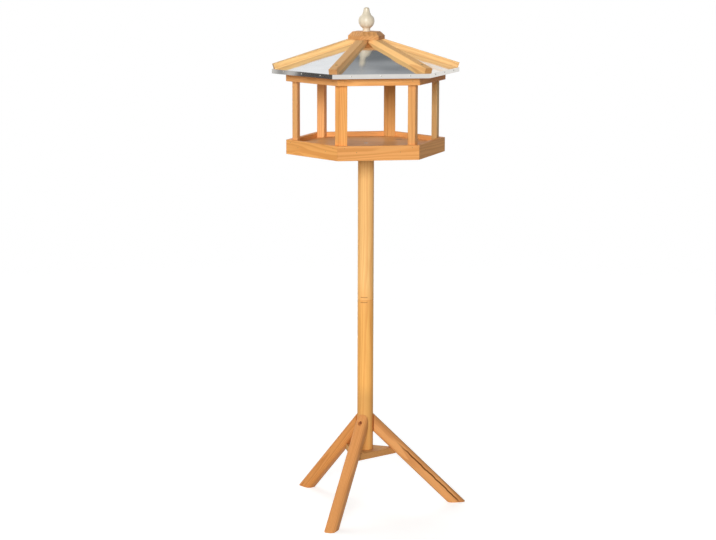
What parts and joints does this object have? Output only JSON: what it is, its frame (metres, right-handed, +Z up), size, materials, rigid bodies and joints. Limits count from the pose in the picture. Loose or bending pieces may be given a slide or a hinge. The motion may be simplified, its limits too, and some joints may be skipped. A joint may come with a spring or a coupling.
{
  "type": "bird table",
  "caption": "Free-standing hexagonal wooden bird table: tripod foot, round pole, open feeding tray under corner posts, and a sheet metal roof with hip battens, cap and turned finial.",
  "frame": {"origin": "on the ground at the bottom centre of the bounding box; the pole's axis stands at y = +0.015 m", "axes": "+Z up along the pole, -Y towards the front leg, +X to the right as seen from the front"},
  "size_m": [0.5144, 0.556, 1.4169],
  "materials": {
    "pine": "clear honey lacquer over planed pine, satin gloss",
    "leg_pine": "orange brown lacquer over planed pine, satin gloss",
    "plain_pine": "planed pine",
    "plywood": "lacquered plywood",
    "cream_paint": "turned wood with cream gloss paint",
    "roof_metal": "bright rolled sheet, almost a mirror",
    "steel": "zinc plated"
  },
  "bodies": {
    "root": {"apex_hub": "plain_pine", "base_plate": "leg_pine", "batten_pins": "steel", "block_screws": "steel", "cap": "pine", "coach_screw": "steel", "eave_batten_1": "pine", "eave_batten_2": "pine", "eave_batten_3": "pine", "eave_batten_4": "pine", "eave_batten_5": "pine", "eave_batten_6": "pine", "finial": "cream_paint", "finial_dowel": "plain_pine", "front_leg": "leg_pine", "left_leg": "leg_pine", "leg_plate_screws": "steel", "leg_pole_screws": "steel", "lip_nails": "steel", "pole_lower": "pine", "pole_stud": "steel", "pole_upper": "pine", "post_1": "pine", "post_2": "pine", "post_3": "pine", "post_4": "pine", "post_5": "pine", "post_6": "pine", "rafter_1": "pine", "rafter_2": "pine", "rafter_3": "pine", "rafter_4": "pine", "rafter_5": "pine", "rafter_6": "pine", "rafter_screws": "steel", "right_leg": "leg_pine", "rim_board_1": "pine", "rim_board_2": "pine", "rim_board_3": "pine", "rim_board_4": "pine", "rim_board_5": "pine", "rim_board_6": "pine", "rim_pins": "steel", "ring_board_1": "pine", "ring_board_2": "pine", "ring_board_3": "pine", "ring_board_4": "pine", "ring_board_5": "pine", "ring_board_6": "pine", "ring_pins": "steel", "roof_sheet_1": "roof_metal", "roof_sheet_2": "roof_metal", "roof_sheet_3": "roof_metal", "roof_sheet_4": "roof_metal", "roof_sheet_5": "roof_metal", "roof_sheet_6": "roof_metal", "socket_block": "plain_pine", "tray_floor": "plywood", "tray_screw": "steel", "washer": "steel"}
  },
  "joints": []
}
